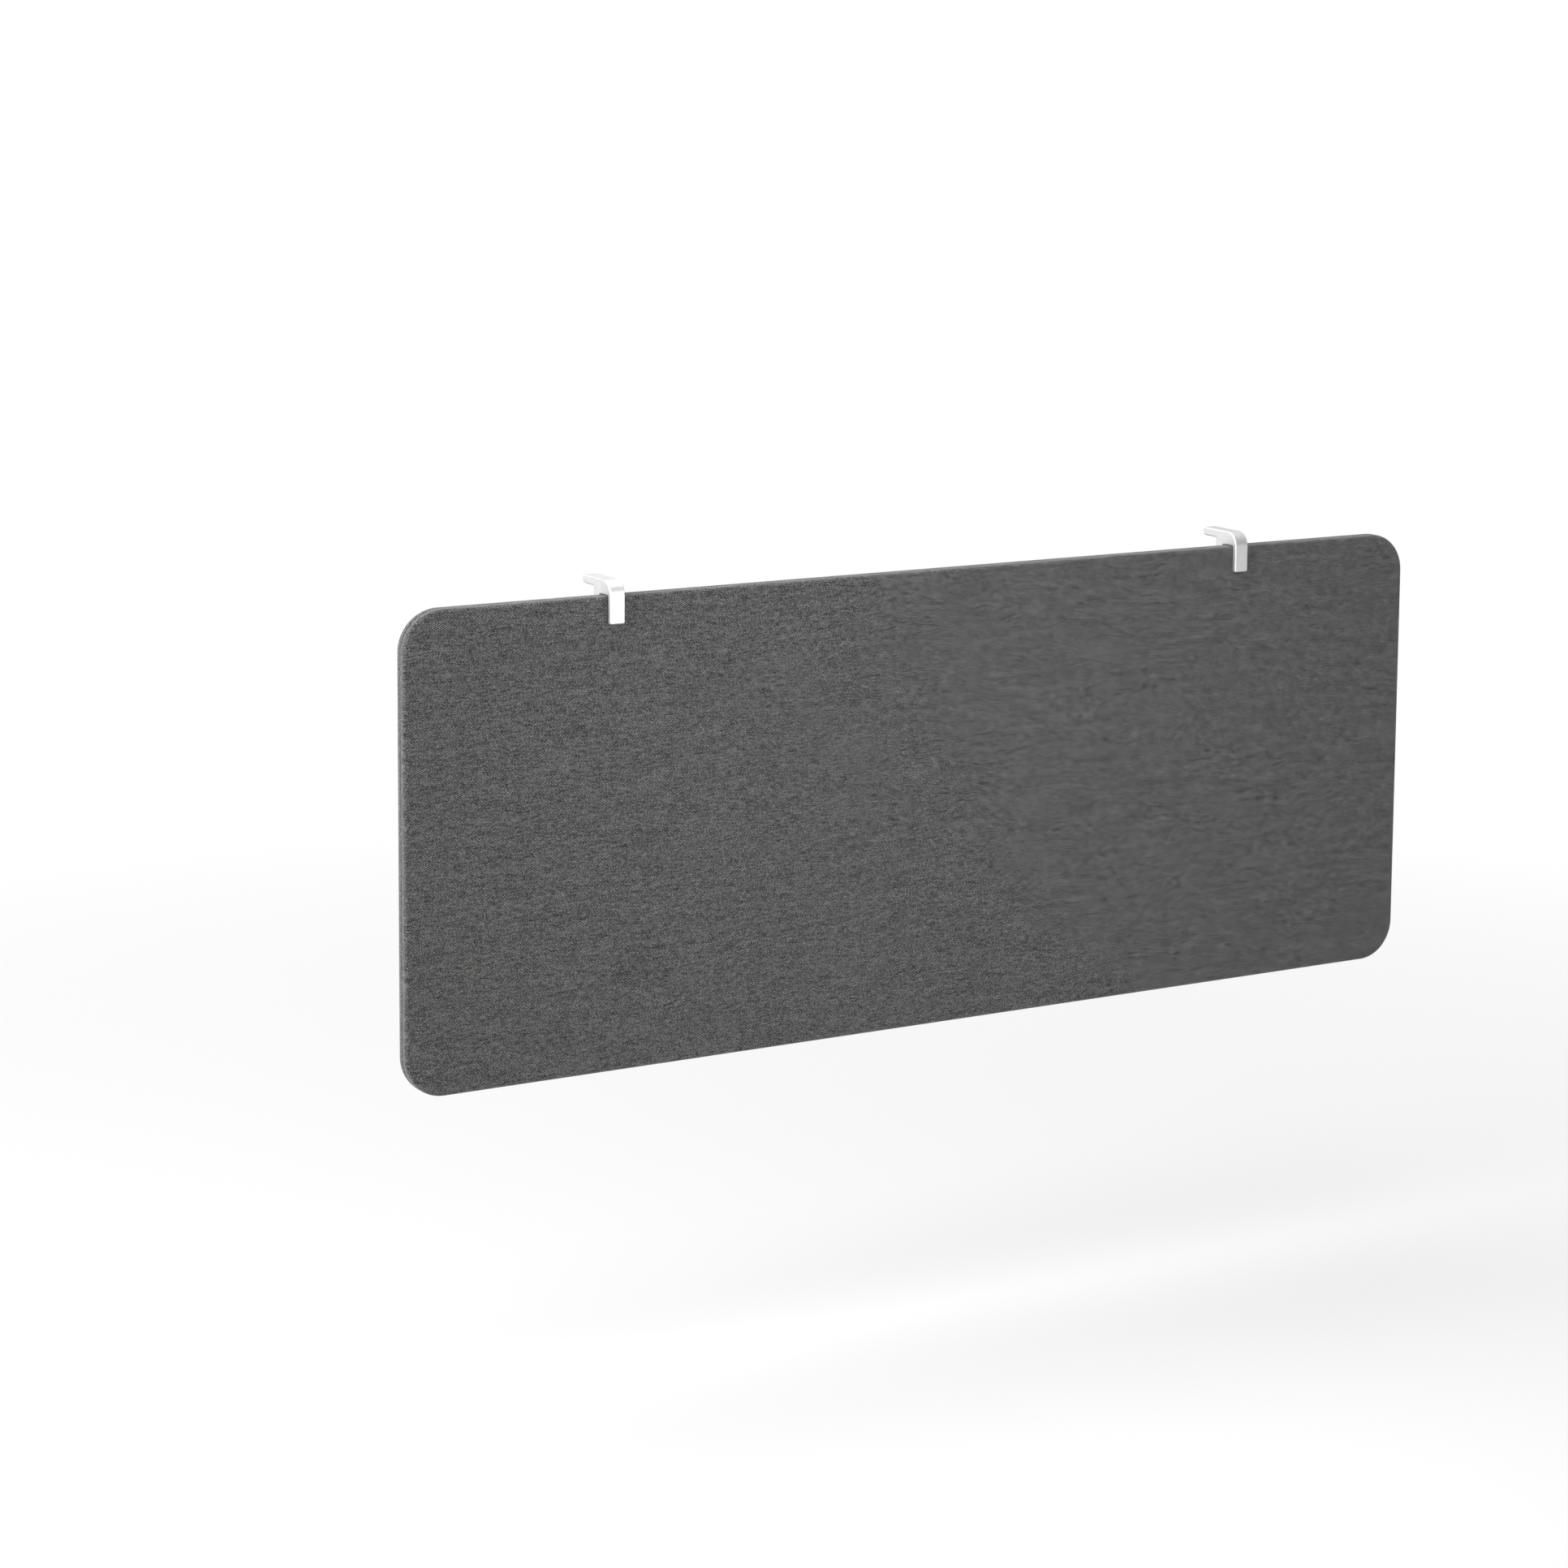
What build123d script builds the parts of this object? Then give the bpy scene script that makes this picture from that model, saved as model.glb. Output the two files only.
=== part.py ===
from build123d import *
import os

os.makedirs("parts", exist_ok=True)

# A fabric-covered desk privacy panel, hung on the front edge of a desktop by two clamp brackets.
# Millimetres. X runs along the panel, -Y is the panel's front, +Z is up.
# Origin: middle of the panel's length, on the desk's front edge, at the desktop's surface.

# Panel
panel_length = 1110.0
panel_height = 440.0
panel_thickness = 16.0
corner_radius = 38.0
edge_radius = 3.2
panel_drop = 6.0  # from the desktop's surface down to the panel's top edge
cover_thickness = 0.8
shell_wall = 2.2
seam_gap = 0.4
seam_radius = 0.6
rail_width = 20.0

# Bracket
bracket_spacing = 695.0
bracket_width = 15.0
arm_length = 21.0
arm_top = 7.8  # above the desktop
leg_thickness = 5.5
leg_drop = 31.0  # below the desktop
web_thickness = 11.0
nose_radius = 13.5
inner_radius = 1.0
small_radius = 0.4
heel_radius = 6.0  # where the web turns into the jaw
outer_chamfer = 0.8
leg_corner_radius = 1.5
jaw_thickness = 9.0
jaw_behind_screw = 13.0
jaw_radius = 3.0

# Clearances
slide_clearance = 0.1  # between a bracket's linings and the panel
top_clearance = 0.3  # between the panel's top edge and the nose
web_clearance = 0.5  # between the web and the panel's back
running_clearance = 0.05  # radial, for the spindle in its hole and the ball in its socket
foot_clearance = 0.5  # between the foot and the jaw, and the knob and the jaw, at the ends of travel

# Linings and grip
arm_pad_thickness = 1.0
arm_pad_proud = 0.4
arm_pad_margin = 1.5
slot_pad_thickness = 0.6
slot_pad_margin = 1.5
grip_plate_thickness = 2.0
grip_plate_width = 11.0
grip_plate_height = 24.0
grip_plate_top = 9.5  # below the desktop
grip_pocket_clearance = 0.5
grip_pocket_spare = 1.0  # room behind the plate
grub_radius = 2.5
grub_length = 7.0
grub_spacing = 13.0
grub_key = 2.5  # across the flats of the socket
grub_key_depth = 2.5

# Clamp
desk_thickness = 25.0  # the desktop that the foot is set to
desk_thickness_most = 32.0
desk_thickness_least = 18.0
screw_radius = 4.0
screw_behind_edge = 24.0
neck_radius = 2.2
neck_length = 1.5
neck_clearance = 0.4
ball_radius = 3.2
ball_drop = 6.2  # from the foot's pad down to the ball's centre
foot_radius = 9.0
foot_rim = 3.0
foot_boss_radius = 6.0
foot_height = 9.0
foot_pad_radius = 7.6
foot_pad_thickness = 2.0
foot_pad_proud = 1.0
knob_radius = 15.0
knob_height = 14.0
knob_bore_depth = 10.0
knob_scallops = 7
knob_scallop_radius = 5.0
knob_scallop_depth = 2.2
knob_fillet = 1.2

# Worked out from the sizes above
leg_back = web_thickness + web_clearance + panel_thickness + slide_clearance + slot_pad_thickness
leg_front = leg_back + leg_thickness
panel_back = -(web_thickness + web_clearance)
panel_middle = panel_back - panel_thickness / 2
panel_front = panel_back - panel_thickness
panel_top = -panel_drop
panel_centre_z = panel_top - panel_height / 2
half_thickness = panel_thickness / 2
core_inset = cover_thickness + shell_wall
foot_top = -desk_thickness - foot_pad_proud
foot_bottom = foot_top - foot_height
travel_down = desk_thickness_most - desk_thickness
travel_up = desk_thickness - desk_thickness_least
jaw_top = foot_bottom - travel_down - foot_clearance
jaw_bottom = jaw_top - jaw_thickness
knob_top = jaw_bottom - travel_up - foot_clearance
ball_centre = -desk_thickness - ball_drop
bracket_centre = bracket_spacing / 2
tolerance = 0.01  # for picking edges and faces by where they are


def slab(inset, front, back):
    """The panel's outline drawn in by inset, as a plate from y = front to y = back."""
    outline = RectangleRounded(
        panel_length - 2 * inset,
        panel_height - 2 * inset,
        corner_radius - inset,
    )
    plane = Plane(origin=(0, back, panel_centre_z), x_dir=(1, 0, 0), z_dir=(0, -1, 0))
    return extrude(plane * outline, back - front)


def front_pan(inset, rim_radius):
    """The front half of the panel drawn in by inset, solid, with its front edge rounded over."""
    rim_y = panel_middle - seam_gap / 2
    pan = slab(inset, panel_front + inset, rim_y)
    pan = fillet(pan.faces().sort_by(Axis.Y)[0].edges(), edge_radius - inset)
    if rim_radius:
        pan = fillet(pan.faces().sort_by(Axis.Y)[-1].edges(), rim_radius)
    return pan


def cover():
    return front_pan(0, seam_radius) - front_pan(cover_thickness, 0)


def shell():
    hollow = slab(core_inset, panel_front + core_inset, panel_middle)
    return front_pan(cover_thickness, 0) - hollow


def rear(half):
    """The same half on the panel's back."""
    return mirror(half, Plane.XZ.offset(-panel_middle))


def core_board():
    inset = core_inset + rail_width
    return slab(inset, panel_front + core_inset, panel_back - core_inset)


def rail_ring():
    outer = slab(core_inset, panel_front + core_inset, panel_back - core_inset)
    return outer - core_board()


def top_rail():
    height = rail_width
    z = panel_top - core_inset - height / 2
    strip = Pos(0, panel_middle, z) * Box(panel_length, panel_thickness, height)
    return rail_ring() & strip


def side_rail():
    """The right-hand rail, between the top and bottom ones."""
    height = panel_height - 2 * (core_inset + rail_width)
    strip = Pos(panel_length / 4, panel_middle, panel_centre_z) * Box(
        panel_length / 2, panel_thickness, height
    )
    return rail_ring() & strip


def flip_z(rail):
    return mirror(rail, Plane.XY.offset(panel_centre_z))


def flip_x(rail):
    return mirror(rail, Plane.YZ)


def rim_of(faces):
    """The edges round a chain of faces, without the ones that two of them share."""
    every = [edge for face in faces for edge in face.edges()]
    return [edge for edge in every if every.count(edge) == 1]


def bracket_profile():
    """The bracket seen from the side: arm, nose, front leg, panel slot, web and lower jaw."""
    jaw_end = screw_behind_edge + jaw_behind_screw
    slot_top = panel_top + top_clearance
    corners = [
        (arm_length, arm_pad_proud, small_radius),
        (arm_length, arm_top, 0),
        (-leg_front, arm_top, nose_radius),
        (-leg_front, -leg_drop, 0),
        (-leg_back, -leg_drop, small_radius),
        (-leg_back, slot_top, inner_radius),
        (-web_thickness, slot_top, inner_radius),
        (-web_thickness, jaw_bottom, heel_radius),
        (jaw_end, jaw_bottom, jaw_radius),
        (jaw_end, jaw_top, jaw_radius),
        (0, jaw_top, jaw_radius),
        (0, arm_pad_proud, inner_radius),
    ]
    points = [(y, z) for y, z, radius in corners]
    radii = [radius for y, z, radius in corners]
    return make_face(FilletPolyline(*points, radius=radii, close=True))


def bracket_bar():
    """The bracket's bar, with the leg's lower corners rounded and its outer edges chamfered."""
    bar = extrude(Plane.YZ * bracket_profile(), bracket_width / 2, both=True)
    low = [
        edge
        for edge in bar.edges().filter_by(Axis.Y)
        if abs(edge.center().Z + leg_drop) < tolerance and edge.center().Y < -leg_back
    ]
    bar = fillet(low, leg_corner_radius)
    front = bar.faces().sort_by(Axis.Y)[0]
    top = bar.faces().sort_by(Axis.Z)[-1]
    bends = bar.faces().filter_by(GeomType.CYLINDER)
    nose = [face for face in bends if abs(face.radius - nose_radius) < tolerance]
    return chamfer(rim_of([front, top] + nose), outer_chamfer)


def across_y(radius, start, end, z):
    """A rod along Y from y = start to y = end."""
    middle = (start + end) / 2
    return Pos(0, middle, z) * Rot(90, 0, 0) * Cylinder(radius, end - start)


def grub_heights():
    middle = -(grip_plate_top + grip_plate_height / 2)
    return [middle + grub_spacing / 2, middle - grub_spacing / 2]


def arm_pad():
    length = arm_length - 2 * arm_pad_margin
    width = bracket_width - 2 * arm_pad_margin
    pad = Box(width, length, arm_pad_thickness)
    return Pos(0, arm_length / 2, arm_pad_thickness / 2) * pad


def slot_pad():
    low = -leg_drop + slot_pad_margin
    high = panel_top - slot_pad_margin
    width = bracket_width - 2 * slot_pad_margin
    y = -leg_back + slot_pad_thickness / 2
    return Pos(0, y, (low + high) / 2) * Box(width, slot_pad_thickness, high - low)


def grip_plate(grow=0):
    """The plate on the panel's back; grown, it is the tool for its pocket in the web."""
    front = panel_back + slide_clearance
    spare = grip_pocket_spare if grow else 0
    depth = grip_plate_thickness + spare
    z = -(grip_plate_top + grip_plate_height / 2)
    plate = Box(grip_plate_width + 2 * grow, depth, grip_plate_height + 2 * grow)
    return Pos(0, front + depth / 2, z) * plate


def grub_screws():
    tip = panel_back + slide_clearance + grip_plate_thickness
    head = tip + grub_length
    screws = []
    for z in grub_heights():
        screw = across_y(grub_radius, tip, head, z)
        key = RegularPolygon(grub_key / 2, 6, major_radius=False)
        plane = Plane(origin=(0, head, z), x_dir=(1, 0, 0), z_dir=(0, -1, 0))
        screws.append(screw - extrude(plane * key, grub_key_depth))
    return Compound(children=screws)


def bracket():
    body = bracket_bar() - arm_pad() - grip_plate(grip_pocket_clearance)
    for z in grub_heights():
        body -= across_y(grub_radius, -web_thickness, 0, z)
    hole = Cylinder(screw_radius + running_clearance, jaw_thickness)
    return body - Pos(0, screw_behind_edge, (jaw_top + jaw_bottom) / 2) * hole


def upright(radius, low, high):
    """A rod on the clamp screw's axis from z = low to z = high."""
    return Pos(0, screw_behind_edge, (low + high) / 2) * Cylinder(radius, high - low)


def foot_pad():
    return upright(foot_pad_radius, -desk_thickness - foot_pad_thickness, -desk_thickness)


def foot():
    rim = upright(foot_radius, foot_top - foot_rim, foot_top)
    body = rim + upright(foot_boss_radius, foot_bottom, foot_top)
    socket = Sphere(ball_radius + running_clearance)
    body -= Pos(0, screw_behind_edge, ball_centre) * socket
    body -= upright(neck_radius + neck_clearance, foot_bottom, ball_centre)
    return body - foot_pad()


def clamp_screw():
    shank_top = foot_bottom - neck_length
    shank = upright(screw_radius, knob_top - knob_bore_depth, shank_top)
    neck = upright(neck_radius, shank_top, ball_centre)
    ball = Pos(0, screw_behind_edge, ball_centre) * Sphere(ball_radius)
    return shank + neck + ball


def clamp_knob():
    grip = upright(knob_radius, knob_top - knob_height, knob_top)
    reach = knob_radius + knob_scallop_radius - knob_scallop_depth
    scallop = Cylinder(knob_scallop_radius, knob_height)
    centre = Pos(0, screw_behind_edge, knob_top - knob_height / 2)
    for place in PolarLocations(reach, knob_scallops):
        grip -= centre * place * scallop
    ends = grip.faces().sort_by(Axis.Z)
    grip = fillet(ends[0].edges() + ends[-1].edges(), knob_fillet)
    return grip - upright(screw_radius, knob_top - knob_bore_depth, knob_top)


panel_pieces = {
    "front_fabric": cover(),
    "rear_fabric": rear(cover()),
    "front_shell": shell(),
    "rear_shell": rear(shell()),
    "core_board": core_board(),
    "top_rail": top_rail(),
    "bottom_rail": flip_z(top_rail()),
    "right_rail": side_rail(),
    "left_rail": flip_x(side_rail()),
}

bracket_pieces = {
    "bracket": bracket(),
    "arm_pad": arm_pad(),
    "slot_pad": slot_pad(),
    "grip_plate": grip_plate(),
    "grub_screws": grub_screws(),
    "foot": foot(),
    "foot_pad": foot_pad(),
    "clamp_screw": clamp_screw(),
    "clamp_knob": clamp_knob(),
}

for name, piece in panel_pieces.items():
    export_step(piece, f"parts/{name}.step")

for side, x in (("left", -bracket_centre), ("right", bracket_centre)):
    for name, piece in bracket_pieces.items():
        export_step(Pos(x, 0, 0) * piece, f"parts/{side}_{name}.step")
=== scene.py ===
import math

import bmesh
import bpy
from mathutils import Matrix, Vector, noise


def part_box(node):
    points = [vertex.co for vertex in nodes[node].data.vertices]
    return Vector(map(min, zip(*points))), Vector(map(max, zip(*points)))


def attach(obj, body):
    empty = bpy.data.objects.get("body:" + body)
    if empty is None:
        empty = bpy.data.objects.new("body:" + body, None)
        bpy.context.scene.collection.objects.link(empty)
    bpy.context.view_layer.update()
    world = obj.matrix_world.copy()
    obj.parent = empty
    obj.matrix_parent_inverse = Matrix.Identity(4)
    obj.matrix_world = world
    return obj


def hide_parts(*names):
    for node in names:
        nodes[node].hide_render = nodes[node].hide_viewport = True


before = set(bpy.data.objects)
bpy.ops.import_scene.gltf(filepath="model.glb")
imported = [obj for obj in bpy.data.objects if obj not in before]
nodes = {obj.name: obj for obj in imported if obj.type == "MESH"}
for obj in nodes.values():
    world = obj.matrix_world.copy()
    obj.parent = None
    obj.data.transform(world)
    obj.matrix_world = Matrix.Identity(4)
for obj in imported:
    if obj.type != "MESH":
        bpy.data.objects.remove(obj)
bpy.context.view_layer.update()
sides = ("left", "right")
mm = 0.001
print("stage: frame loaded,", len(nodes), "nodes")


# where things are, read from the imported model

frontLow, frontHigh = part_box("front_fabric")
rearLow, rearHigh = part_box("rear_fabric")
panelMiddle = (frontLow + rearHigh) / 2
seamY = (frontHigh.y + rearLow.y) / 2
halfLength = (frontHigh.x - frontLow.x) / 2
halfHeight = (frontHigh.z - frontLow.z) / 2
coverDepth = seamY - frontLow.y
deskHeight = 0.730  # the model's zero is the desktop, which stands this high


# small node helpers

wide = (0.25, 0.75)  # Blender's noise hardly leaves this span
narrow = (0.3, 0.7)  # and is mostly inside this one


def newMaterial(name):
    mat = bpy.data.materials.new(name)
    mat.use_nodes = True
    tree = mat.node_tree
    shader = tree.nodes["Principled BSDF"]
    return mat, tree, shader


def link(tree, source, target):
    tree.links.new(source, target)


def sock(tree, node, index, value):
    # a number goes straight in, a socket is linked
    if isinstance(value, (int, float)):
        node.inputs[index].default_value = value
    else:
        link(tree, value, node.inputs[index])


def calc(tree, operation, a, b=0.0, c=0.0):
    node = tree.nodes.new("ShaderNodeMath")
    node.operation = operation
    sock(tree, node, 0, a)
    sock(tree, node, 1, b)
    sock(tree, node, 2, c)
    return node.outputs[0]


def spread(tree, value, source, target):
    # moves a value from the source span to the target span, and stops at its ends
    node = tree.nodes.new("ShaderNodeMapRange")
    sock(tree, node, 0, value)
    for index, number in enumerate((*source, *target), 1):
        node.inputs[index].default_value = number
    return node.outputs[0]


def vector(tree, x, y, z=0.0):
    node = tree.nodes.new("ShaderNodeCombineXYZ")
    for index, value in enumerate((x, y, z)):
        sock(tree, node, index, value)
    return node.outputs[0]


def split(tree, source):
    node = tree.nodes.new("ShaderNodeSeparateXYZ")
    link(tree, source, node.inputs[0])
    return node.outputs


def objectPlace(tree):
    return tree.nodes.new("ShaderNodeTexCoord").outputs["Object"]


def stretched(tree, parts, perMetre):
    # each part of a place times its own number, for noise that is longer one way than another
    return vector(tree, *(calc(tree, "MULTIPLY", part, factor) for part, factor in zip(parts, perMetre)))


def grain(tree, place, scale=1.0, detail=2.0, roughness=0.5):
    node = tree.nodes.new("ShaderNodeTexNoise")
    link(tree, place, node.inputs["Vector"])
    node.inputs["Scale"].default_value = scale
    node.inputs["Detail"].default_value = detail
    node.inputs["Roughness"].default_value = roughness
    return node.outputs[0]


def dice(tree, place):
    # a steady random number for each whole-numbered place
    node = tree.nodes.new("ShaderNodeTexWhiteNoise")
    link(tree, place, node.inputs["Vector"])
    return node.outputs[0]


def blendNumbers(tree, factor, a, b):
    node = tree.nodes.new("ShaderNodeMix")
    sock(tree, node, 0, factor)
    sock(tree, node, 2, a)
    sock(tree, node, 3, b)
    return node.outputs[0]


def blendColours(tree, factor, a, b, mode="MIX"):
    node = tree.nodes.new("ShaderNodeMix")
    node.data_type = "RGBA"
    node.blend_type = mode
    sock(tree, node, 0, factor)
    link(tree, a, node.inputs[6])
    link(tree, b, node.inputs[7])
    return node.outputs[2]


def tones(tree, value, dark, light, span=narrow):
    # a colour ramp between two shades
    node = tree.nodes.new("ShaderNodeValToRGB")
    link(tree, value, node.inputs[0])
    for element, place, colour in zip(node.color_ramp.elements, span, (dark, light)):
        element.position = place
        element.color = (*colour, 1)
    return node.outputs[0]


def bump(tree, shader, height, distance, strength):
    node = tree.nodes.new("ShaderNodeBump")
    node.inputs["Strength"].default_value = strength
    node.inputs["Distance"].default_value = distance
    link(tree, height, node.inputs["Height"])
    link(tree, node.outputs[0], shader.inputs["Normal"])


# mesh helpers

def joinRings(work, rings):
    count = len(rings[0])
    for one, other in zip(rings, rings[1:]):
        for k in range(count):
            j = (k + 1) % count
            work.faces.new((one[k], one[j], other[j], other[k]))


def finishMesh(name, work):
    for face in work.faces:
        face.smooth = True
    mesh = bpy.data.meshes.new(name)
    work.to_mesh(mesh)
    work.free()
    piece = bpy.data.objects.new(name, mesh)
    bpy.context.scene.collection.objects.link(piece)
    return piece


# the twill that covers the panel

twill = {
    "warpPitch": 0.73 * mm,      # upright yarns, centre to centre
    "weftPitch": 0.418 * mm,     # level yarns
    "warpDark": (0.004, 0.004, 0.004),
    "warpLight": (0.355, 0.354, 0.351),
    "weftDark": (0.002, 0.002, 0.002),
    "weftLight": (0.034, 0.034, 0.034),
    "wander": (30.0, 30.0, 1.0),  # waves in the yarns' lines, per metre
    "wanderBy": 0.5,             # pitches from side to side
    "warpCrown": (0.35, 1.0),    # height of an upright float, from its ends to its middle
    "weftCrown": (0.25, 0.8),    # the level ones lie a little lower
    # what each kind of unevenness adds to a yarn's tone, from 0, dark, to 1, light
    "fleckPower": 1.8,           # more dark floats than light ones
    "fleckTone": (0.02, 0.58),
    "runLength": 8.0 * mm,       # how far a row keeps one shade
    "runApart": 5.17,            # keeps the runs of neighbouring rows unlike each other
    "runTone": (-0.16, 0.30),
    "slubLength": 11.0 * mm,
    "slubHeight": 0.9 * mm,
    "slubTone": (-0.24, 0.24),
    "band": (14.0, 170.0, 1.0),  # broad, faint bands where the weft lies closer, per metre
    "bandTone": (-0.10, 0.10),
    "hairLean": 4200.0,          # twisted fibres in each yarn, per metre
    "hairAcross": 9000.0,
    "hairAlong": 900.0,
    "hairTone": (-0.12, 0.28),
    "hollow": (0.34, 1.06),      # painted shade in the hollows between the yarns, and a little painted lightening on top of them
    "paintedShadeHeight": (0.05, 0.65),
    "weaveDepth": 0.16 * mm,
    "weaveBump": 0.8,
    "roughness": (0.82, 0.95),
    "specular": 0.25,
    "sheen": 0.25,
    "sheenRoughness": 0.5,
}


def yarnTwist(tree, along, across, side):
    # fibres lie at a slant round the yarn
    lean = calc(tree, "MULTIPLY", across, twill["hairAcross"])
    slant = calc(tree, "MULTIPLY_ADD", along, twill["hairLean"], lean)
    place = vector(tree, slant, calc(tree, "MULTIPLY", along, twill["hairAlong"]), side)
    return grain(tree, place, roughness=0.6)


def twillMaterial():
    mat, tree, shader = newMaterial("heatheredTwill")
    cloth = tree.nodes.new("ShaderNodeAttribute")
    cloth.attribute_name = "cloth"
    u, v, side = split(tree, cloth.outputs["Vector"])
    # yarns aren't dead straight
    wander = grain(tree, stretched(tree, (u, v, side), twill["wander"]), detail=1.0)
    drift = calc(tree, "MULTIPLY", calc(tree, "SUBTRACT", wander, 0.5), twill["wanderBy"])
    across = calc(tree, "ADD", calc(tree, "DIVIDE", u, twill["warpPitch"]), drift)
    along = calc(tree, "ADD", calc(tree, "DIVIDE", v, twill["weftPitch"]), drift)
    column = calc(tree, "FLOOR", across)
    row = calc(tree, "FLOOR", along)
    inColumn = calc(tree, "FRACT", across)
    inRow = calc(tree, "FRACT", along)
    # two over, two under, stepping one yarn each row, so the ridges run down to the right
    count = calc(tree, "ADD", column, row)
    step = calc(tree, "FLOORED_MODULO", count, 4.0)
    ridge = calc(tree, "FLOOR", calc(tree, "DIVIDE", count, 4.0))
    warpUp = calc(tree, "LESS_THAN", step, 1.5)
    # a float is round across the yarn and crowned along it, over its two crossings
    halfTurn = math.pi / 2
    warpRound = calc(tree, "SINE", calc(tree, "MULTIPLY", inColumn, math.pi))
    weftRound = calc(tree, "SINE", calc(tree, "MULTIPLY", inRow, math.pi))
    warpFloat = calc(tree, "SINE", calc(tree, "MULTIPLY", calc(tree, "ADD", step, inRow), halfTurn))
    weftSpan = calc(tree, "SUBTRACT", calc(tree, "ADD", step, inColumn), 2.0)
    weftFloat = calc(tree, "SINE", calc(tree, "MULTIPLY", weftSpan, halfTurn))
    warpHeight = calc(tree, "MULTIPLY", warpRound, spread(tree, warpFloat, (0, 1), twill["warpCrown"]))
    weftHeight = calc(tree, "MULTIPLY", weftRound, spread(tree, weftFloat, (0, 1), twill["weftCrown"]))
    height = blendNumbers(tree, warpUp, weftHeight, warpHeight)

    # melange: every float has its own shade, and slubs, bands and runs go along the level yarns
    warpFleck = dice(tree, vector(tree, column, ridge, calc(tree, "ADD", side, 0.37)))
    weftFleck = dice(tree, vector(tree, row, ridge, calc(tree, "ADD", side, 9.71)))
    slubAlong = calc(tree, "DIVIDE", u, twill["slubLength"])
    slubUp = calc(tree, "DIVIDE", v, twill["slubHeight"])
    slub = grain(tree, vector(tree, slubAlong, slubUp, side))
    band = grain(tree, stretched(tree, (u, v, side), twill["band"]), detail=3.0, roughness=0.6)
    slubTone = spread(tree, slub, wide, twill["slubTone"])
    drifting = calc(tree, "ADD", slubTone, spread(tree, band, wide, twill["bandTone"]))
    runAlong = calc(tree, "DIVIDE", u, twill["runLength"])
    runPlace = vector(tree, runAlong, calc(tree, "MULTIPLY", row, twill["runApart"]), side)
    runTone = spread(tree, grain(tree, runPlace, detail=1.0), wide, twill["runTone"])

    def yarnTone(fleck, hair):
        uneven = calc(tree, "POWER", fleck, twill["fleckPower"])
        tone = calc(tree, "ADD", spread(tree, uneven, (0, 1), twill["fleckTone"]), drifting)
        tone = calc(tree, "ADD", tone, runTone)
        return calc(tree, "ADD", tone, spread(tree, hair, wide, twill["hairTone"]))

    warpTone = yarnTone(warpFleck, yarnTwist(tree, v, u, side))
    weftTone = yarnTone(weftFleck, yarnTwist(tree, u, v, side))
    warpColour = tones(tree, warpTone, twill["warpDark"], twill["warpLight"], (0, 1))
    weftColour = tones(tree, weftTone, twill["weftDark"], twill["weftLight"], (0, 1))
    colour = blendColours(tree, warpUp, weftColour, warpColour)
    # painted shade: the colour is darkened in the hollows between yarns and lightened a little on their tops
    hollow = spread(tree, height, twill["paintedShadeHeight"], twill["hollow"])
    colour = blendColours(tree, 1.0, colour, vector(tree, hollow, hollow, hollow), "MULTIPLY")
    link(tree, colour, shader.inputs["Base Color"])
    link(tree, spread(tree, slub, narrow, twill["roughness"]), shader.inputs["Roughness"])
    shader.inputs["Specular IOR Level"].default_value = twill["specular"]
    shader.inputs["Sheen Weight"].default_value = twill["sheen"]
    shader.inputs["Sheen Roughness"].default_value = twill["sheenRoughness"]
    bump(tree, shader, height, twill["weaveDepth"], twill["weaveBump"])
    return mat


# the two covers

cover = {
    "cornerRadius": 38.0 * mm,
    "edgeRadius": 3.2 * mm,
    "lipRadius": 0.6 * mm,
    "seamGap": 0.4 * mm,      # between the covers' lips
    "raggedness": 0.35,       # how much the seam's gap varies along the edge
    "raggedPerMetre": 22,
    "cornerGap": 0.9 * mm,    # more gap where the cloth is pulled round a corner
    "lipEnd": 0.8 * mm,       # the cloth ends against the felt shell's rim
    "thickness": 0.45 * mm,
    "waviness": 0.12 * mm,
    "wavesPerMetre": 9,
    "waveSink": 0.6,          # how far the waves are sunk, as a share of their size
    "flatten": 8.0 * mm,      # the waves fade out over this depth towards the seam
    "wrap": 8.0 * mm,         # cloth cut beyond the outline, on every side
    "clothApart": 3.0,        # keeps the two covers' weaves unlike each other
    "weld": 0.005 * mm,       # points nearer than this become one
    "longStep": 14.0 * mm,
    "arcSteps": 16,
    "edgeSteps": 7,
    "lipSteps": 4,
    "faceRings": (1.0, 0.72, 0.46, 0.26, 0.14),  # shares of the corner radius, in from the outline
}


def outlinePoints():
    # round the outline: (spot on the inner rectangle, outward direction, how far into a corner, 0 to 1)
    r = cover["cornerRadius"]
    inX, inZ = halfLength - r, halfHeight - r
    steps = cover["arcSteps"]
    points = []
    corners = [(1, 1, 0), (-1, 1, 90), (-1, -1, 180), (1, -1, 270)]
    for index, (sx, sz, start) in enumerate(corners):
        foot = Vector((sx * inX, sz * inZ))
        for k in range(steps + 1):
            angle = math.radians(start + 90 * k / steps)
            outward = Vector((math.cos(angle), math.sin(angle)))
            points.append((foot, outward, math.sin(math.pi * k / steps)))
        nextX, nextZ, _ = corners[(index + 1) % 4]
        far = Vector((nextX * inX, nextZ * inZ))
        count = round((far - foot).length / cover["longStep"])
        for k in range(1, count):
            points.append((foot.lerp(far, k / count), outward, 0.0))
    return points


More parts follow.
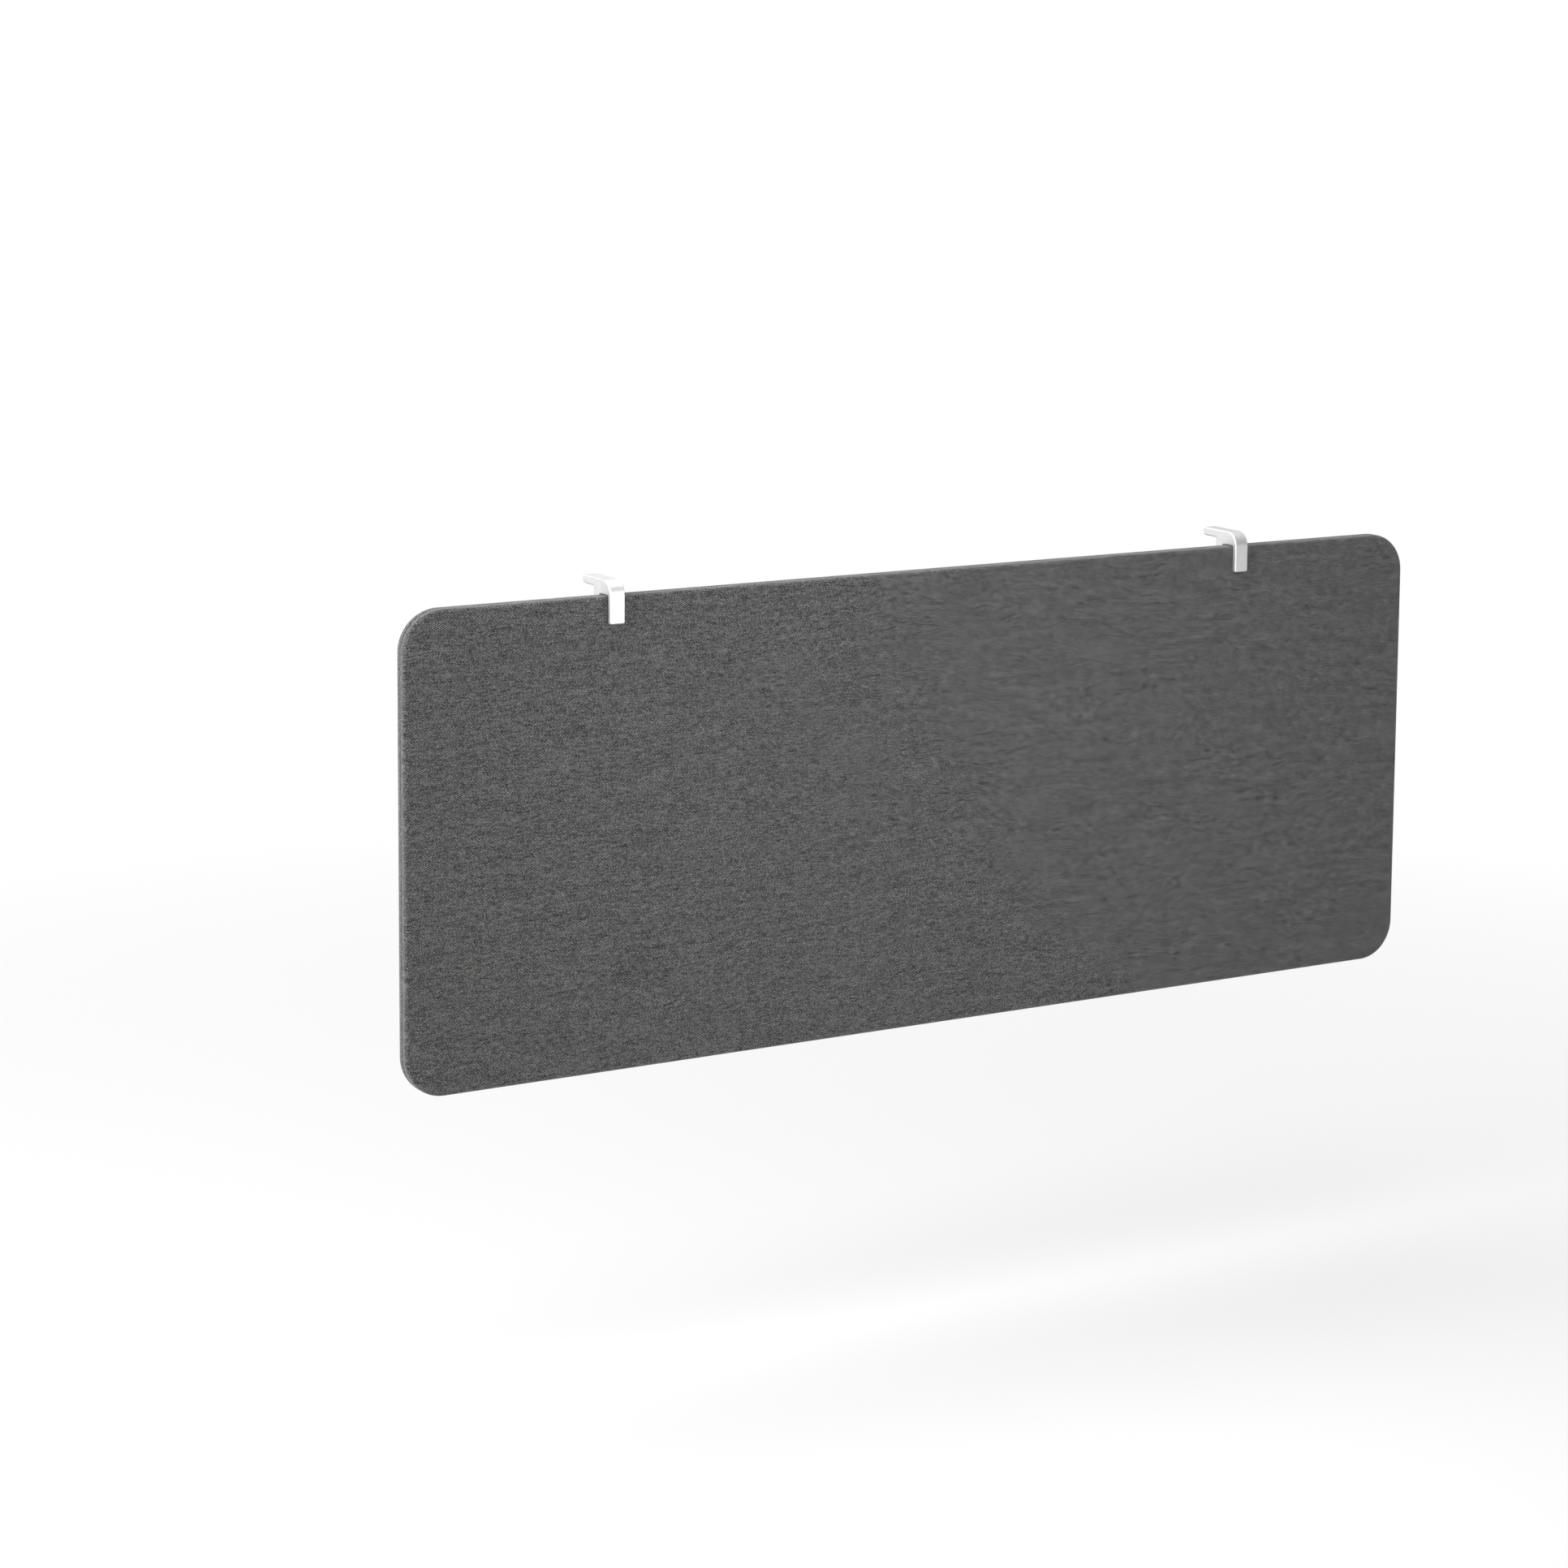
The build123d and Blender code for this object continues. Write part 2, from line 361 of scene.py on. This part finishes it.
def edgeProfile(gap):
    # (distance in from the outline, distance from the seam, length of cloth past the face's edge)
    r, lip = cover["edgeRadius"], cover["lipRadius"]
    section = []
    for k in range(cover["edgeSteps"] + 1):
        a = math.radians(90 * k / cover["edgeSteps"])
        section.append((r - r * math.sin(a), coverDepth - r + r * math.cos(a), r * a))
    run = section[-1][2]
    lipStart = gap / 2 + lip
    straight = coverDepth - r - lipStart
    section.append((0.0, lipStart + straight / 2, run + straight / 2))
    run += straight
    for k in range(cover["lipSteps"] + 1):
        a = math.radians(90 * k / cover["lipSteps"])
        section.append((lip - lip * math.cos(a), lipStart - lip * math.sin(a), run + lip * a))
    run = section[-1][2]
    section.append((cover["lipEnd"], gap / 2, run + cover["lipEnd"] - lip))
    return section


def coverMesh(name, sign, seed):
    # sign -1 is the front cover, +1 the rear one
    work = bmesh.new()
    clothX = work.verts.layers.float.new("clothX")
    clothZ = work.verts.layers.float.new("clothZ")
    outline = outlinePoints()
    r = cover["cornerRadius"]

    def add(flat, depth, cloth):
        waves = cover["wavesPerMetre"]
        wave = noise.noise(Vector((flat.x * waves, flat.y * waves, seed))) * cover["waviness"]
        # sunk a little, so that the tops of the waves come level with the panel's face
        sink = cover["waviness"] * cover["waveSink"]
        deep = depth + wave * min(1, depth / cover["flatten"]) - sink
        vert = work.verts.new((panelMiddle.x + flat.x, seamY + sign * deep, panelMiddle.z + flat.y))
        vert[clothX] = -sign * cloth.x  # each cloth shows its face side
        vert[clothZ] = cloth.y
        return vert

    rings = []
    for share in cover["faceRings"]:
        flats = [foot + outward * (r - r * share) for foot, outward, turn in outline]
        rings.append([add(flat, coverDepth, flat) for flat in flats])
    sections = []
    for foot, outward, turn in outline:
        spot = (foot + outward * r) * cover["raggedPerMetre"]
        ragged = noise.noise(Vector((spot.x, spot.y, seed + 5.0)))
        gap = cover["seamGap"] * (1 + cover["raggedness"] * ragged) + cover["cornerGap"] * turn
        sections.append(edgeProfile(gap))
    for k in range(len(sections[0])):
        ring = []
        for (foot, outward, turn), section in zip(outline, sections):
            inset, depth, run = section[k]
            faceEdge = foot + outward * (r - cover["edgeRadius"])
            ring.append(add(foot + outward * (r - inset), depth, faceEdge + outward * run))
        rings.append(ring)
    joinRings(work, rings)
    # the middle is a plain grid between the corners of the inner rectangle
    inX, inZ = halfLength - r, halfHeight - r
    columns = round(2 * inX / cover["longStep"])
    rows = round(2 * inZ / cover["longStep"])
    grid = []
    for a in range(columns + 1):
        line = []
        for b in range(rows + 1):
            flat = Vector((-inX + 2 * inX * a / columns, -inZ + 2 * inZ * b / rows))
            line.append(add(flat, coverDepth, flat))
        grid.append(line)
    for a in range(columns):
        for b in range(rows):
            work.faces.new((grid[a][b], grid[a + 1][b], grid[a + 1][b + 1], grid[a][b + 1]))
    bmesh.ops.remove_doubles(work, verts=work.verts, dist=cover["weld"])
    bmesh.ops.recalc_face_normals(work, faces=work.faces)
    centre = Vector((panelMiddle.x, seamY + sign * coverDepth, panelMiddle.z))
    middle = min(work.faces, key=lambda face: (face.calc_center_median() - centre).length)
    if middle.normal.y * sign < 0:
        bmesh.ops.reverse_faces(work, faces=work.faces)
    cloths = [(vert[clothX], vert[clothZ], cover["clothApart"] * sign) for vert in work.verts]
    piece = finishMesh(name, work)
    mesh = piece.data
    for spare in ("clothX", "clothZ"):
        mesh.attributes.remove(mesh.attributes[spare])
    # where each point lies on the flat cloth, and which cover it is, for the weave
    layer = mesh.attributes.new("cloth", "FLOAT_VECTOR", "POINT")
    for item, value in zip(layer.data, cloths):
        item.vector = value
    wall = piece.modifiers.new("cloth", "SOLIDIFY")
    wall.thickness = cover["thickness"]
    wall.offset = -1.0
    wall.use_rim = True
    return piece


def makeCovers(material):
    covers = (
        ("frontCover", -1, 11.0, "front_fabric", "front_shell"),
        ("rearCover", 1, 29.0, "rear_fabric", "rear_shell"),
    )
    for name, sign, seed, node, shell in covers:
        piece = coverMesh(name, sign, seed)
        piece.data.materials.append(material)
        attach(piece, "panel")
        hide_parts(node)
    print("stage: covers made")


# metals, rubber, plastics, felt, wood and board

satin = {
    "dark": (0.655, 0.655, 0.66),
    "light": (0.69, 0.69, 0.695),
    "cloudScale": 140.0,
    "roughness": (0.47, 0.51),
    "brushing": (9000.0, 900.0, 900.0),  # fine lines along the bar, per metre
    "brushRoughness": (-0.03, 0.04),
    "brushDepth": 0.004 * mm,
    "bump": 0.5,
}

zincPlate = {
    "dark": (0.55, 0.56, 0.58),
    "light": (0.66, 0.67, 0.69),
    "roughness": (0.28, 0.43),
    "cloudScale": 420.0,
    "pitDepth": 0.01 * mm,
    "bump": 0.5,
}

blackened = {
    "dark": (0.030, 0.030, 0.033),
    "light": (0.060, 0.060, 0.064),
    "roughness": (0.38, 0.53),
    "cloudScale": 420.0,
    "pitDepth": 0.01 * mm,
    "bump": 0.5,
}

rubber = {
    "dark": (0.020, 0.020, 0.021),
    "light": (0.034, 0.034, 0.036),
    "roughness": (0.69, 0.83),
    "speckleScale": 2200.0,
    "speckleDepth": 0.03 * mm,
}

footFinish = {
    "dark": (0.030, 0.030, 0.032),
    "light": (0.042, 0.042, 0.045),
    "roughness": (0.39, 0.53),
    "speckleScale": 1500.0,
    "speckleDepth": 0.01 * mm,
}

knobFinish = {
    "dark": (0.024, 0.024, 0.026),
    "light": (0.036, 0.036, 0.038),
    "roughness": (0.44, 0.58),
    "speckleScale": 1100.0,
    "speckleDepth": 0.03 * mm,
}

felt = {
    "dark": (0.030, 0.030, 0.031),
    "light": (0.085, 0.085, 0.088),
    "fibreScale": 1400.0,
    "clumpScale": 260.0,
    "fibreShare": 0.6,
    "fibreDepth": 0.15 * mm,
}

wood = {
    "dark": (0.42, 0.29, 0.17),
    "light": (0.60, 0.45, 0.29),
    "grainLines": (14.0, 260.0, 260.0),  # along the long rails, per metre
    "roughness": (0.6, 0.75),
    "grainDepth": 0.05 * mm,
}

board = {
    "dark": (0.42, 0.33, 0.23),
    "light": (0.58, 0.48, 0.35),
    "cellScale": 90.0,
    "pulpScale": 700.0,
    "cellDepth": 0.4 * mm,
}


def aluminiumMaterial():
    mat, tree, shader = newMaterial("satinAluminium")
    place = objectPlace(tree)
    brushed = grain(tree, stretched(tree, split(tree, place), satin["brushing"]), roughness=0.6)
    cloudy = grain(tree, place, satin["cloudScale"], 3.0, 0.55)
    link(tree, tones(tree, cloudy, satin["dark"], satin["light"]), shader.inputs["Base Color"])
    base = spread(tree, cloudy, narrow, satin["roughness"])
    rough = calc(tree, "ADD", base, spread(tree, brushed, narrow, satin["brushRoughness"]))
    link(tree, rough, shader.inputs["Roughness"])
    shader.inputs["Metallic"].default_value = 1.0
    bump(tree, shader, brushed, satin["brushDepth"], satin["bump"])
    return mat


def steelMaterial(name, finish):
    mat, tree, shader = newMaterial(name)
    cloudy = grain(tree, objectPlace(tree), finish["cloudScale"], 4.0, 0.6)
    link(tree, tones(tree, cloudy, finish["dark"], finish["light"]), shader.inputs["Base Color"])
    link(tree, spread(tree, cloudy, wide, finish["roughness"]), shader.inputs["Roughness"])
    shader.inputs["Metallic"].default_value = 1.0
    bump(tree, shader, cloudy, finish["pitDepth"], finish["bump"])
    return mat


def mouldedMaterial(name, finish):
    mat, tree, shader = newMaterial(name)
    place = objectPlace(tree)
    speckle = grain(tree, place, finish["speckleScale"])
    cloudy = grain(tree, place, finish["speckleScale"] / 14, 3.0)
    link(tree, tones(tree, cloudy, finish["dark"], finish["light"]), shader.inputs["Base Color"])
    link(tree, spread(tree, speckle, narrow, finish["roughness"]), shader.inputs["Roughness"])
    bump(tree, shader, speckle, finish["speckleDepth"], 0.6)
    return mat


def feltMaterial():
    mat, tree, shader = newMaterial("pressedFelt")
    place = objectPlace(tree)
    fibres = grain(tree, place, felt["fibreScale"], 4.0, 0.7)
    clumps = grain(tree, place, felt["clumpScale"], 3.0, 0.6)
    clumpTone = calc(tree, "MULTIPLY", clumps, 1 - felt["fibreShare"])
    tone = calc(tree, "ADD", calc(tree, "MULTIPLY", fibres, felt["fibreShare"]), clumpTone)
    link(tree, tones(tree, tone, felt["dark"], felt["light"]), shader.inputs["Base Color"])
    shader.inputs["Roughness"].default_value = 0.95
    shader.inputs["Sheen Weight"].default_value = 0.2
    bump(tree, shader, fibres, felt["fibreDepth"], 0.7)
    return mat


def woodMaterial():
    mat, tree, shader = newMaterial("railWood")
    rings = grain(tree, stretched(tree, split(tree, objectPlace(tree)), wood["grainLines"]), 1.0, 4.0, 0.6)
    link(tree, tones(tree, rings, wood["dark"], wood["light"]), shader.inputs["Base Color"])
    link(tree, spread(tree, rings, narrow, wood["roughness"]), shader.inputs["Roughness"])
    bump(tree, shader, rings, wood["grainDepth"], 0.6)
    return mat


def boardMaterial():
    mat, tree, shader = newMaterial("honeycombBoard")
    place = objectPlace(tree)
    cells = tree.nodes.new("ShaderNodeTexVoronoi")
    cells.feature = "DISTANCE_TO_EDGE"
    cells.inputs["Scale"].default_value = board["cellScale"]
    link(tree, place, cells.inputs["Vector"])
    pulp = grain(tree, place, board["pulpScale"], 3.0, 0.6)
    link(tree, tones(tree, pulp, board["dark"], board["light"]), shader.inputs["Base Color"])
    shader.inputs["Roughness"].default_value = 0.9
    bump(tree, shader, cells.outputs[0], board["cellDepth"], 0.7)
    return mat


# the clamp spindle, with its real thread

spindle = {
    "pitch": 1.25 * mm,
    "crest": 3.97 * mm,       # the thread's radius at its crest
    "root": 3.25 * mm,
    "flat": 0.14,             # share of half a pitch that is flat, at the root and at the crest
    "runOut": 1.2 * mm,       # the thread fades out over this length at either end
    "around": 36,
    "rowsPerTurn": 10,
    "neck": 2.2 * mm,         # radius under the ball
    "neckLength": 1.5 * mm,
    "shoulder": 0.2 * mm,     # the shank slopes to the neck over this height
    "neckShort": 0.1 * mm,    # the neck stops this far under the ball
    "ball": 3.2 * mm,
    "ballSteps": 12,
}


def threadRadius(z, turned, bottom, top):
    # turned is how far round the spindle the point is, from 0 to 1
    phase = (z / spindle["pitch"] - turned) % 1.0
    flank = 1 - abs(2 * phase - 1)
    ridge = min(1, max(0, (flank - spindle["flat"]) / (1 - 2 * spindle["flat"])))
    fade = max(0, min(1, (z - bottom) / spindle["runOut"], (top - z) / spindle["runOut"]))
    return spindle["root"] + (spindle["crest"] - spindle["root"]) * ridge * fade


def spindleMesh(name, side):
    low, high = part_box(side + "_clamp_screw")
    footLow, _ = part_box(side + "_foot")
    centre = (low + high) / 2
    shankTop = footLow.z - spindle["neckLength"]
    ball = spindle["ball"]
    ballZ = high.z - ball
    levels = []  # (height, radius or None where the thread sets it)
    rows = int((shankTop - low.z) / spindle["pitch"] * spindle["rowsPerTurn"])
    for k in range(rows + 1):
        levels.append((low.z + (shankTop - low.z) * k / rows, None))
    levels.append((shankTop + spindle["shoulder"], spindle["neck"]))
    dip = math.acos(spindle["neck"] / ball)  # where the neck meets the ball
    levels.append((ballZ - ball * math.sin(dip) - spindle["neckShort"], spindle["neck"]))
    for k in range(spindle["ballSteps"]):
        a = -dip + (math.pi / 2 + dip) * k / spindle["ballSteps"]
        levels.append((ballZ + ball * math.sin(a), ball * math.cos(a)))
    work = bmesh.new()
    around = spindle["around"]
    rings = []
    for z, radius in levels:
        ring = []
        for k in range(around):
            a = 2 * math.pi * k / around
            r = threadRadius(z, k / around, low.z, shankTop) if radius is None else radius
            ring.append(work.verts.new((centre.x + r * math.cos(a), centre.y + r * math.sin(a), z)))
        rings.append(ring)
    joinRings(work, rings)
    work.faces.new(rings[0])
    tip = work.verts.new((centre.x, centre.y, high.z))
    for k in range(around):
        work.faces.new((rings[-1][k], rings[-1][(k + 1) % around], tip))
    bmesh.ops.recalc_face_normals(work, faces=work.faces)
    return finishMesh(name, work)


def makeSpindles(material):
    for side in sides:
        piece = spindleMesh(side + "Spindle", side)
        piece.data.materials.append(material)
        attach(piece, side + "_screw")
        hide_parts(side + "_clamp_screw")
    print("stage: spindles made")


# the moulded hand knob on the spindle's lower end

knob = {
    "scallops": 7,
    "scallopRadius": 5.0 * mm,
    "scallopDepth": 2.2 * mm,
    "lobeSoftness": 0.9 * mm,  # how far the lobes' corners are rounded
    "perScallop": 14,
    "rimRadius": 1.7 * mm,
    "rimSteps": 5,
    "draft": 0.3 * mm,         # the side leans in this much towards the bottom
    # radii of the rings on the top and the underside
    "core": 3.0 * mm,          # innermost, hidden inside the spindle
    "bore": 4.3 * mm,
    "boss": 6.6 * mm,          # raised middle of the top
    "dish": 10.0 * mm,         # the sunk ring between boss and lobes ends here
    "dishDepth": 1.0 * mm,
    "underDish": 8.8 * mm,
    "underDepth": 0.9 * mm,
    "plug": 4.4 * mm,          # cap over the spindle's end
    "soft": 0.4 * mm,          # how far the small edges are eased
    "sharpFrom": 38,           # degrees
}


def knobOutline(angle, radius):
    # the grip's radius in one direction: a round, less the nearest scallop, softened where they meet
    turn = 2 * math.pi / knob["scallops"]
    off = (angle + turn / 2) % turn - turn / 2
    reach = radius + knob["scallopRadius"] - knob["scallopDepth"]
    aside = reach * math.sin(off)
    if abs(aside) >= knob["scallopRadius"]:
        return radius
    hollow = reach * math.cos(off) - math.sqrt(knob["scallopRadius"] ** 2 - aside ** 2)
    mix = max(0.0, 1 - abs(radius - hollow) / knob["lobeSoftness"])
    return min(radius, hollow) - mix * mix * knob["lobeSoftness"] / 4


def knobProfile(top, bottom):
    # (does the ring follow the lobes, its inset from them or its radius, height), top's middle first
    soft, rim = knob["soft"], knob["rimRadius"]
    boss, dish = knob["boss"], knob["dish"]
    under, plug = knob["underDish"], knob["plug"]
    section = [
        (False, knob["core"], top - soft),
        (False, knob["bore"], top - soft),
        (False, knob["bore"] + soft, top),
        (False, boss, top),
        (False, boss + soft, top - soft),
        (False, boss + soft * 1.5, top - knob["dishDepth"]),
        (False, dish, top - knob["dishDepth"]),
        (False, dish + soft * 0.5, top - soft),
        (False, dish + soft * 1.5, top),
    ]
    arc = [math.pi / 2 * step / knob["rimSteps"] for step in range(knob["rimSteps"] + 1)]
    for a in arc:
        section.append((True, rim * (1 - math.sin(a)), top - rim * (1 - math.cos(a))))
    for a in arc:
        section.append((True, knob["draft"] + rim * (1 - math.cos(a)), bottom + rim * (1 - math.sin(a))))
    section += [
        (False, under + soft, bottom),
        (False, under, bottom + soft),
        (False, under - soft * 0.5, bottom + knob["underDepth"]),
        (False, plug, bottom + knob["underDepth"]),
        (False, plug - soft * 0.5, bottom + soft),
        (False, plug - soft * 1.5, bottom + soft * 0.3),
    ]
    return section


def knobMesh(name, side):
    low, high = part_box(side + "_clamp_knob")
    screwLow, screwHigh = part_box(side + "_clamp_screw")
    centre = (screwLow + screwHigh) / 2
    # the lobes don't reach the box on every side, so the longest reach is the radius
    radius = max(high.x - centre.x, centre.x - low.x, high.y - centre.y, centre.y - low.y)
    around = knob["scallops"] * knob["perScallop"]
    work = bmesh.new()
    rings = []
    for lobed, size, z in knobProfile(high.z, low.z):
        ring = []
        for k in range(around):
            a = 2 * math.pi * k / around
            r = knobOutline(a, radius) - size if lobed else size
            ring.append(work.verts.new((centre.x + r * math.cos(a), centre.y + r * math.sin(a), z)))
        rings.append(ring)
    joinRings(work, rings)
    work.faces.new(rings[0])
    work.faces.new(rings[-1])
    bmesh.ops.recalc_face_normals(work, faces=work.faces)
    piece = finishMesh(name, work)
    piece.data.set_sharp_from_angle(angle=math.radians(knob["sharpFrom"]))
    return piece


def makeKnobs(material):
    for side in sides:
        piece = knobMesh(side + "Knob", side)
        piece.data.materials.append(material)
        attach(piece, side + "_screw")
        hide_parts(side + "_clamp_knob")
    print("stage: knobs made")


def dressNodes(finishes):
    # a finish is listed by the node's name, without left_ or right_ where there are two alike
    for name, obj in nodes.items():
        piece = name.split("_", 1)[1] if name.startswith(sides) else name
        for key, material in finishes.items():
            if key in (name, piece):
                obj.data.materials.clear()
                obj.data.materials.append(material)
    print("stage: nodes dressed")


# studio

studio = {
    "floorSize": 60.0,
    "floorSquares": 12,
    "floorShade": (0.50, 0.50, 0.50),
    "sweepMiddle": 0.3,    # how white the floor already is under the part
    "sweepRadius": 2.2,    # it is all white from here outwards
    "dome": 0.34,          # light from all round
    "domeLeft": 0.30,      # more of it from the panel's left
    "domeFront": -0.16,    # less from the front
    "domeUp": 0.45,
    "overheadBox": {"place": (-0.6, 0.3, 2.4), "size": (3.6, 3.0), "power": 120.0},
    "leftBox": {"place": (-2.9, -0.12, 0.5), "size": (1.6, 2.2), "power": 104.0},
    "fillBox": {"place": (-0.15, -0.9, 0.0), "size": (0.7, 0.5), "power": 5.3},
    "fillAim": (-0.18, 0, -0.22),  # on the panel, left of its middle
}


def blendShaders(tree, factor, a, b):
    node = tree.nodes.new("ShaderNodeMixShader")
    link(tree, factor, node.inputs[0])
    link(tree, a, node.inputs[1])
    link(tree, b, node.inputs[2])
    return node.outputs[0]


def makeFloor():
    squares = studio["floorSquares"]
    bpy.ops.mesh.primitive_grid_add(
        x_subdivisions=squares, y_subdivisions=squares, size=studio["floorSize"], location=(0, 0, -deskHeight)
    )
    floor = bpy.context.object
    floor.name = "studioFloor"
    mat, tree, shader = newMaterial("paleFloor")
    shader.inputs["Base Color"].default_value = (*studio["floorShade"], 1)
    shader.inputs["Roughness"].default_value = 0.8
    shader.inputs["Specular IOR Level"].default_value = 0.1
    # away from the part the floor runs out into plain white, like a studio sweep
    x, y, z = split(tree, objectPlace(tree))
    squared = calc(tree, "ADD", calc(tree, "MULTIPLY", x, x), calc(tree, "MULTIPLY", y, y))
    far = calc(tree, "SQRT", squared)
    glow = spread(tree, far, (0, studio["sweepRadius"]), (studio["sweepMiddle"], 1.0))
    white = tree.nodes.new("ShaderNodeEmission")
    white.inputs["Color"].default_value = (1, 1, 1, 1)
    sweep = blendShaders(tree, glow, shader.outputs[0], white.outputs[0])
    # from below the floor is clear, so the underside of the part can be looked at
    clear = tree.nodes.new("ShaderNodeBsdfTransparent")
    below = tree.nodes.new("ShaderNodeNewGeometry").outputs["Backfacing"]
    both = blendShaders(tree, below, sweep, clear.outputs[0])
    link(tree, both, tree.nodes["Material Output"].inputs["Surface"])
    floor.data.materials.append(mat)


def makeWorld():
    world = bpy.data.worlds.new("studio")
    bpy.context.scene.world = world
    world.use_nodes = True
    tree = world.node_tree
    x, y, z = split(tree, tree.nodes.new("ShaderNodeTexCoord").outputs["Generated"])
    level = studio["dome"]
    for part, way, amount in ((x, -1.0, "domeLeft"), (y, -1.0, "domeFront"), (z, 1.0, "domeUp")):
        toward = calc(tree, "MAXIMUM", calc(tree, "MULTIPLY", part, way), 0.0)
        level = calc(tree, "ADD", level, calc(tree, "MULTIPLY", toward, studio[amount]))
    lit = tree.nodes["Background"]
    lit.inputs["Color"].default_value = (1, 1, 1, 1)
    link(tree, level, lit.inputs["Strength"])
    # the camera sees plain white behind everything
    seen = tree.nodes.new("ShaderNodeBackground")
    seen.inputs["Color"].default_value = (1, 1, 1, 1)
    direct = tree.nodes.new("ShaderNodeLightPath").outputs["Is Camera Ray"]
    both = blendShaders(tree, direct, lit.outputs[0], seen.outputs[0])
    link(tree, both, tree.nodes["World Output"].inputs["Surface"])


def softbox(name, aim):
    box = studio[name]
    light = bpy.data.lights.new(name, "AREA")
    light.shape = "RECTANGLE"
    light.size, light.size_y = box["size"]
    light.energy = box["power"]
    lamp = bpy.data.objects.new(name, light)
    lamp.location = box["place"]
    lamp.visible_camera = False
    lamp.rotation_euler = (Vector(aim) - Vector(box["place"])).to_track_quat("-Z", "Y").to_euler()
    bpy.context.scene.collection.objects.link(lamp)


def makeStudio():
    makeFloor()
    makeWorld()
    softbox("overheadBox", panelMiddle)
    softbox("leftBox", panelMiddle)
    softbox("fillBox", studio["fillAim"])
    print("stage: studio made")


view = {
    "fromPanel": Vector((-1.9055, -3.0102, 0.7464)),  # from the panel's middle
    "yaw": 30.0,           # degrees
    "pitch": -7.42,
    "roll": 0.40,
    "lens": 87.24,
    "sensorWidth": 36.0,
    "shiftUp": -0.18,
    "clipEnd": 200.0,
}


def makeCamera():
    yaw, pitch, roll = (math.radians(view[turn]) for turn in ("yaw", "pitch", "roll"))
    level = Vector((math.sin(yaw), math.cos(yaw), 0))
    ahead = level * math.cos(pitch) + Vector((0, 0, math.sin(pitch)))
    right = Vector((math.cos(yaw), -math.sin(yaw), 0))
    up = right.cross(ahead)
    rolledRight = right * math.cos(roll) + up * math.sin(roll)
    rolledUp = up * math.cos(roll) - right * math.sin(roll)
    data = bpy.data.cameras.new("camera")
    data.lens = view["lens"]
    data.sensor_width = view["sensorWidth"]
    data.shift_y = view["shiftUp"]
    data.clip_end = view["clipEnd"]
    camera = bpy.data.objects.new("camera", data)
    bpy.context.scene.collection.objects.link(camera)
    turned = Matrix((rolledRight, rolledUp, -ahead)).transposed()
    camera.matrix_world = Matrix.Translation(panelMiddle + view["fromPanel"]) @ turned.to_4x4()
    bpy.context.scene.camera = camera
    bpy.context.scene.view_settings.view_transform = "Standard"
    print("stage: camera made")


makeCamera()
makeStudio()
makeCovers(twillMaterial())
zinc = steelMaterial("zincSteel", zincPlate)
makeSpindles(zinc)
knobPlastic = mouldedMaterial("knobPlastic", knobFinish)
makeKnobs(knobPlastic)
blackRubber = mouldedMaterial("blackRubber", rubber)
dressNodes({
    "bracket": aluminiumMaterial(),
    "arm_pad": blackRubber,
    "slot_pad": blackRubber,
    "foot_pad": blackRubber,
    "grip_plate": zinc,
    "grub_screws": steelMaterial("blackSteel", blackened),
    "foot": mouldedMaterial("footPlastic", footFinish),
    "clamp_knob": knobPlastic,
    "front_shell": feltMaterial(),
    "rear_shell": feltMaterial(),
    "core_board": boardMaterial(),
    "top_rail": woodMaterial(),
    "bottom_rail": woodMaterial(),
    "left_rail": woodMaterial(),
    "right_rail": woodMaterial(),
})
